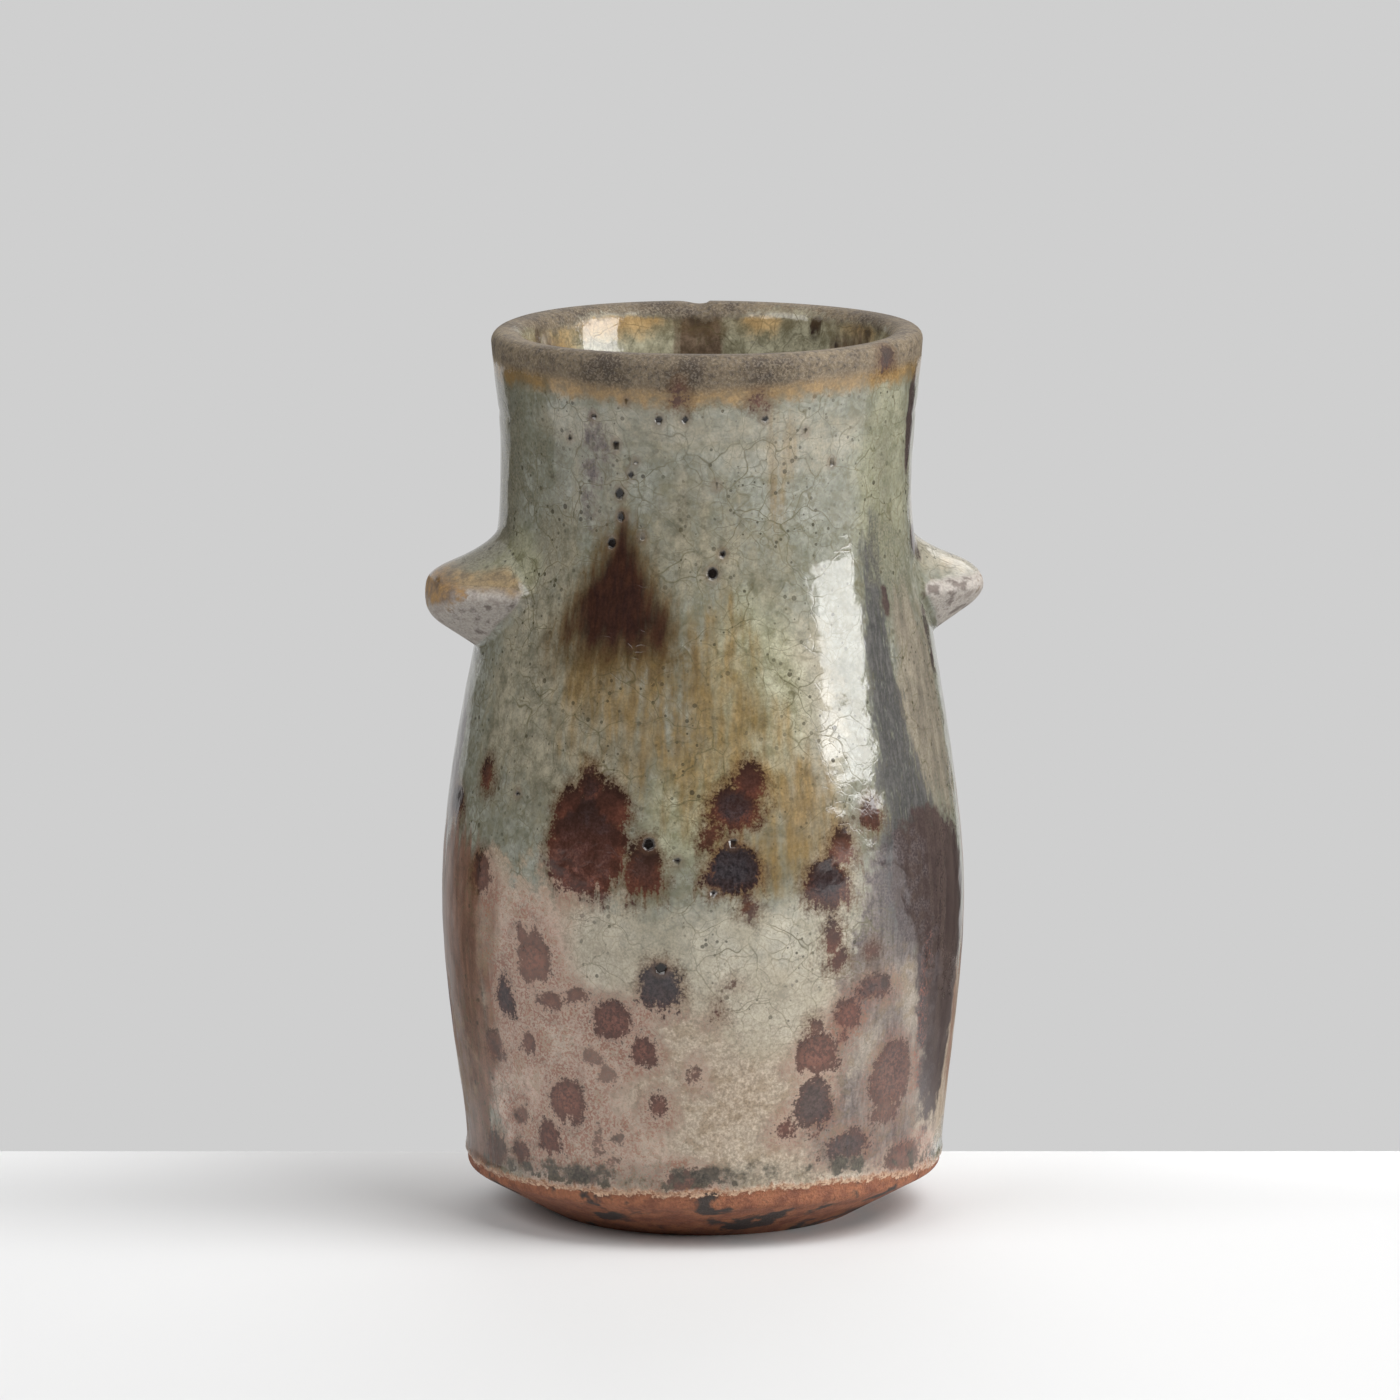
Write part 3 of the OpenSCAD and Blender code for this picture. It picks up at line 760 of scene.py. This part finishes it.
lip_down = node("ADD", nibbled(field["below_lip"], {"mottle": 4.0, "dust": 2.0}), 0.1)
outer_side = node("MULTIPLY_ADD", field["inside"], -0.85, 1.0)
ochre_on = node("MULTIPLY", node("ramp", lip_down, 8.4, 5.8), outer_side)
ochre = node("mix", broken(0.46, "mottle", 4.0, 0.8), mottled("#8B7048", "#B39365", "cloud"), "#6F6049")
colour = node("mix", ochre_on, colour, ochre)
dark_on = node("ramp", lip_down, 5.6, 3.4)
pale_lip = mottled("#6E604C", "#98886F", "dust")
lip = mottled("#4B3F31", "#6A5B45", "dust")
lip = node("mix", broken(field["lip_pale"], "cloud", 1.2, 0.6), lip, pale_lip)
LIP_FLECKS = [  # how common, pattern, softness, cover, colour
    (0.40, "mottle", 0.25, 0.75, "#382D24"),
    (0.42, "cloud", 0.40, 0.50, "#8C7C64"),
    (0.36, "dust", 0.20, 0.70, "#2F2722"),
    (0.36, "grain", 0.20, 0.25, "#A39684"),
]
for common, pattern, soft, cover, fleck in LIP_FLECKS:
    lip = node("mix", node("MULTIPLY", broken(common, pattern, 4.0, soft), cover), lip, fleck)
lip = node("mix", node("MULTIPLY", vein, 0.5), lip, "#2A221D")
colour = node("mix", dark_on, colour, lip)

# %% [markdown]
# ### Spots, arrow and pinholes
#
# A spot is rust at its edge and plum or grey at its heart, darker above its middle. Fine noise nibbles
# its edge, and below its middle the streaks draw it out into fingers. In the wet glaze it has a brown
# fringe; in the dry glaze a pale ring, and red dust lies round it and through the pink.

# %% Nibble the spots' edges
hanging = node("MAXIMUM", field["spot_low"], 0.0)
fingers = node("MULTIPLY_ADD", node("MULTIPLY", hanging, node("MULTIPLY_ADD", dry, 0.6, 0.4)), 5.0, 0.8)
NIBBLES = {"grain": 1.6, "dust": 2.6, "mottle": 3.6, "streak": fingers, "rivulet": fingers}
edge = nibbled(field["spot_edge"], NIBBLES)
strong = field["spot_strength"]

# %% Lay the dust and the ring round each spot
near_spot = node("ramp", field["spot_edge"], 5.0, 0.3)
clouded = node("MULTIPLY_ADD", broken(0.45, "cloud", 5.0, 0.7), 0.3, -0.02)
dusty = nibbled(node("MULTIPLY_ADD", near_spot, 0.34, clouded), {"dust": 1.2})
dusting = node("MULTIPLY", broken(dusty, "grain", 2.6, 0.3), covered["pink"])
colour = node("mix", node("MULTIPLY", dusting, 0.8), colour, "#84503F")
outer = node("MULTIPLY", node("ramp", edge, 3.2, 0.8), broken(0.55, "grain", 5.0, 0.5))
colour = node("mix", node("MULTIPLY", node("MULTIPLY", outer, dryness), strong), colour, "#80594B")
ringed = node("SUBTRACT", dryness, covered["lilac"], use_clamp=True)
ring = node("MULTIPLY", node("ramp", edge, 1.3, 0.5), ringed)
colour = node("mix", node("MULTIPLY", ring, 0.45), colour, "#C6B19F")

# %% Lay the spots
rust = mottled("#4A2F27", "#683F32")
rust = node("mix", node("ramp", field["spot_low"], 0.35, -0.7, 0.0, 0.9), rust, "#31221D")
rust = node("mix", node("MULTIPLY", field["spot_heart"], 0.5), rust, "#38271F")
hearted = broken(field["spot_heart"], "mottle", 1.8, 0.6)
deep = node("MULTIPLY_ADD", node("POWER", field["spot_heart"], 4.0), -1.4, edge)
deep = node("MULTIPLY", node("ramp", deep, -0.5, -2.2), hearted)
spot = node("mix", deep, rust, mottled("#262224", "#3F3A3C", "dust"))
unhearted = node("MULTIPLY_ADD", field["spot_heart"], -0.7, 0.85)
plum = node("mix", node("MULTIPLY", dryness, unhearted), spot, mottled("#512B25", "#925C4B", "dust", 0.5))
rim_of_spot = node("MULTIPLY", node("ramp", edge, -1.5, -0.6), node("MULTIPLY", dryness, 0.8))
plum = node("mix", rim_of_spot, plum, "#482B24")
wet = node("MULTIPLY", node("MULTIPLY", strong, dry), 0.75)
fringe = node("MULTIPLY", node("ramp", edge, 2.4, -0.4), wet)
colour = node("mix", fringe, colour, "#5E4229")
spot_on = node("MULTIPLY", node("ramp", edge, 0.4, -0.5), node("MULTIPLY_ADD", strong, 0.6, 0.4))
colour = node("mix", spot_on, colour, plum)

# %% Lay the arrow and the pinholes
arrow = nibbled(field["arrow_in"], {"rivulet": 3.0, "streak": 6.0})
arrow_edge = mottled("#4F3F26", "#655032", "rivulet")
colour = node("mix", node("ramp", arrow, -4.0, 1.5, 0.0, 0.85), colour, arrow_edge)
colour = node("mix", node("ramp", arrow, -0.6, 3.2), colour, mottled("#2F1F1C", "#40291F", "rivulet"))
pinhole = node("ramp", field["pin_edge"], 0.2, -0.25)
colour = node("mix", node("ramp", field["pin_edge"], 1.2, 0.2, 0.0, 0.35), colour, "#6B5240")
colour = node("mix", pinhole, colour, "#1C1816")

# %% [markdown]
# ### Lugs and foot
#
# Under each lug the glaze is thin and dry, grey over the clay, with a burnt orange nose. The clay below
# the glaze is a warm brown, with a pale orange crinkle along the glaze's edge. Just above that edge the
# glaze gathered iron in dark olive clots.

# %% Lay the lugs
matte_on = broken(field["matte"], "mottle", 0.6, 0.3)
colour = node("mix", matte_on, colour, mottled("#A39990", "#CDC7BF"))
colour = node("mix", node("MULTIPLY", broken(0.36, "mottle", 3.0, 0.3), matte_on), colour, "#6F655E")
rim_on = node("MULTIPLY", broken(field["lug_rim"], "cloud", 2.0, 0.35), 0.8)
colour = node("mix", rim_on, colour, mottled("#75614C", "#AF9266"))
nose_on = node("MULTIPLY", broken(field["nose"], "mottle", 2.2, 0.35), 0.85)
colour = node("mix", nose_on, colour, mottled("#5F4A39", "#A5814F"))

# %% Lay the clots, the crinkled edge and the clay
foot_up = nibbled(field["past_edge"], {"dust": 2.2, "mottle": 3.0})
band = node("MULTIPLY", node("ramp", foot_up, 1.2, 2.0), node("ramp", foot_up, 6.5, 3.0))
frayed = node("SUBTRACT", patterns["dust"], 0.4)
gathered = node("MULTIPLY_ADD", broken(0.58, "cloud", 5.0, 0.6), 0.65, frayed)
clots = node("MULTIPLY", broken(node("MULTIPLY", gathered, band), "mottle", 3.0, 0.25), 0.9)
colour = node("mix", clots, colour, mottled("#2C2A26", "#4F4B3F", "dust"))
roll_on = node("ramp", foot_up, 1.4, 0.5, 0.0, 0.9)
clay_on = node("ramp", foot_up, 0.25, -0.1)
colour = node("mix", roll_on, colour, mottled("#9A6F52", "#CBA98C", "dust", 0.5))
clay = mottled("#84503A", "#B0734F", "cloud")
clay = node("mix", broken(0.42, "mottle", 3.0, 0.4), clay, "#6C402D")
clay = node("mix", broken(0.24, "cloud", 4.0, 0.15), clay, "#38302C")
colour = node("mix", clay_on, colour, clay)

# %% A fine grain over everything
coarse = node("MULTIPLY_ADD", patterns["mottle"], 0.5, node("MULTIPLY", patterns["grain"], 0.5))
grain = node("ramp", coarse, 0.32, 0.68, 0.74, 1.2)
grained = node("CombineColor", grain, grain, grain)
colour = node("mix", 1.0, colour, grained, blend_type="MULTIPLY")

# %% [markdown]
# ### Gloss and relief
#
# The wet-looking glaze has a roughness of about 0.1. The dry sandy part is satin, and the lip, the
# lugs' undersides and the clay are dull. Relief is added up in millimetres: slow waves that bend the
# reflections, fine orange peel, pinholes, cracks, and the grain of the clay.

# %% Gloss
satin = node("MULTIPLY_ADD", covered["cream"], 0.24, 0.1)
satin = node("MULTIPLY_ADD", covered["brown"], 0.22, satin)
unglazed = node("MAXIMUM", node("MAXIMUM", matte_on, clay_on), dark_on)
roughness = node("Mix", {"Factor": unglazed, "A": satin, "B": 0.7}, data_type="FLOAT")

# %% Relief
swell = node("TexNoise", {"Vector": millimetres, "Scale": 1 / 6, "Detail": 1.0})
peel = node("TexNoise", {"Vector": millimetres, "Scale": 1 / 2.4})
relief = 0.0
DEPTHS = [  # pattern or place, and millimetres that it stands out
    (swell, 0.25), (peel, 0.055), (crazed, -0.012), (pinhole, -0.3),
    (node("MULTIPLY", patterns["grain"], unglazed), 0.12),
    (node("MULTIPLY", patterns["dust"], roll_on), 0.3),
]
for height_of, depth in DEPTHS:
    relief = node("MULTIPLY_ADD", height_of, depth, relief)
bump = node("Bump", {"Height": relief, "Distance": 0.001})

surface = node("BsdfPrincipled", {"Base Color": colour, "Roughness": roughness, "Normal": bump, "IOR": 1.5})
node("OutputMaterial", surface)
vase.data.materials.append(glaze)
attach(vase, "root")
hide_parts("vase")
print("material has", len(tree.nodes), "nodes")

# %% [markdown]
# ## The stage
#
# The vase stands near the back edge of a white slab, so that the edge cuts straight across the picture
# behind it, with plain grey beyond. The slab is turned with the camera. Towards its back edge the paint
# is paler and glows a little: painted light.

# %% Make the slab
SLAB_BEHIND = 39.0  # millimetres from the axis to the slab's back edge
SLAB_WIDE, SLAB_DEEP, SLAB_THICK = 2.4, 0.66, 0.03  # metres


def slab(name, wide, deep, thick, behind, turned):
    """A board whose top is at height 0: eight corners, turned about the vase's axis."""
    x, y, z = np.meshgrid([-wide / 2, wide / 2], [behind - deep, behind], [-thick, 0.0], indexing="ij")
    corners = np.stack([
        x * np.cos(turned) - y * np.sin(turned), x * np.sin(turned) + y * np.cos(turned), z
    ], -1).reshape(-1, 3)
    faces = [(0, 1, 3, 2), (4, 6, 7, 5), (0, 4, 5, 1), (2, 3, 7, 6), (0, 2, 6, 4), (1, 5, 7, 3)]
    return mesh_object(name, corners, faces)


def seen():
    """1 for a ray that ends at the eye, straight, by a reflection or through glass, and 0 for the rest."""
    rays = node("LightPath").outputs
    direct = node("MAXIMUM", rays["Is Camera Ray"], rays["Is Glossy Ray"])
    return node("MAXIMUM", direct, rays["Is Transmission Ray"])


board = slab("white_slab", SLAB_WIDE, SLAB_DEEP, SLAB_THICK, SLAB_BEHIND / 1000, camera_angle)
paint = bpy.data.materials.new("white_paint_with_painted_back_light")
tree = emptied(paint)
backwards = (-np.sin(camera_angle), np.cos(camera_angle), 0.0)
behind_axis = node("VectorMath", node("TexCoord").outputs["Object"], backwards, operation="DOT_PRODUCT")
# Painted light: the paint grows paler towards the back edge, and a faint glow there shows to the camera and
# in reflections, as if more light fell on the back of the slab.
far = node("ramp", behind_axis, -0.16, 0.04)  # metres: the slab pales towards its back edge
painted_back_glow = node("ramp", behind_axis, -0.005, 0.045, 0.0, 0.2)
matt = node("BsdfPrincipled", {
    "Base Color": node("mix", far, "#D9D9D9", "#E0E0E0"), "Roughness": 0.7, "Emission Color": "#FFFFFF",
    "Emission Strength": node("MULTIPLY", painted_back_glow, seen()),
})
node("OutputMaterial", matt)
board.data.materials.append(paint)

# %% [markdown]
# ## The light
#
# The photograph's studio is bright behind the vase and dark in front of it, which is why the glaze
# looks deep: a gloss shows what stands opposite it. So the world is one plain grey to the camera and to
# reflections, dimmer as a lamp, and a dark curtain hangs round the front and sides, out of the camera's
# sight. The key is a soft box high on the right, which throws the shadow to the left. A wide low box on
# the right is what the long white highlight shows, and a weaker lamp fills the left. The weakest one
# hangs behind the vase, for views of its back.

# %% Light the scene
world = bpy.data.worlds.new("studio")
bpy.context.scene.world = world
tree = emptied(world)
node("OutputWorld", node("Background", node("mix", seen(), "#808080", "#CFCFCF")))


# %% Hang the dark curtain round the front
CURTAIN_AWAY, CURTAIN_LOW, CURTAIN_HIGH = 2.6, -2.0, 1.5  # metres
CURTAIN_LEFT, CURTAIN_RIGHT = -145.0, 158.0  # degrees from the camera's side


def curtain(name, away, left, right, low, high, columns=48):
    """A sheet that bends round the vase's axis at one distance, between two angles and two heights."""
    angle = np.radians(np.linspace(left, right, columns) + CAMERA_TURN)
    foot = np.stack([away * np.sin(angle), -away * np.cos(angle), np.full(columns, low)], -1)
    top = foot + [0, 0, high - low]
    at = np.arange(columns - 1)
    faces = np.stack([at, at + 1, at + 1 + columns, at + columns], -1)
    return mesh_object(name, np.concatenate([foot, top]), faces.tolist())


drape = curtain("dark_curtain", CURTAIN_AWAY, CURTAIN_LEFT, CURTAIN_RIGHT, CURTAIN_LOW, CURTAIN_HIGH)
drape.visible_camera = False
cloth = bpy.data.materials.new("dark_felt")
tree = emptied(cloth)
node("OutputMaterial", node("BsdfDiffuse", "#3C3C3C"))
drape.data.materials.append(cloth)


# %% Hang the lamps
AIM = np.array([0, 0, 0.08])  # metres: halfway up the vase


def soft_box(name, azimuth, elevation, away, wide, tall, level, roll):
    """A rectangle of light at an angle from the camera's side, facing the vase.

    Its watts are its level, in which 1 is white, times pi times its area."""
    lamp = bpy.data.lights.new(name, "AREA")
    lamp.shape, lamp.size, lamp.size_y = "RECTANGLE", wide, tall
    lamp.energy = level * np.pi * wide * tall
    made = bpy.data.objects.new(name, lamp)
    a, e = np.radians(azimuth + CAMERA_TURN), np.radians(elevation)
    outwards = np.array([np.cos(e) * np.sin(a), -np.cos(e) * np.cos(a), np.sin(e)])
    made.location = AIM + away * outwards
    facing = Matrix.Rotation(a, 3, "Z") @ Matrix.Rotation(np.pi / 2 - e, 3, "X")
    made.rotation_euler = (facing @ Matrix.Rotation(np.radians(roll), 3, "Z")).to_euler()
    bpy.context.scene.collection.objects.link(made)
    return made


LAMPS = [  # name, degrees round from the camera and up, metres away, wide and tall, level, degrees rolled
    ("high_key", 58, 54, 1.5, 1.1, 1.0, 5.5, 0),
    ("right_box", 73, 14, 1.2, 0.62, 0.44, 10.0, -12),
    ("left_fill", -50, 38, 1.6, 1.1, 0.9, 3.9, 0),
    ("back_fill", 172, 36, 1.9, 1.3, 1.0, 1.6, 0),
]
for lamp in LAMPS:
    soft_box(*lamp)

# %% Finish
bpy.context.scene.view_settings.view_transform = "Standard"
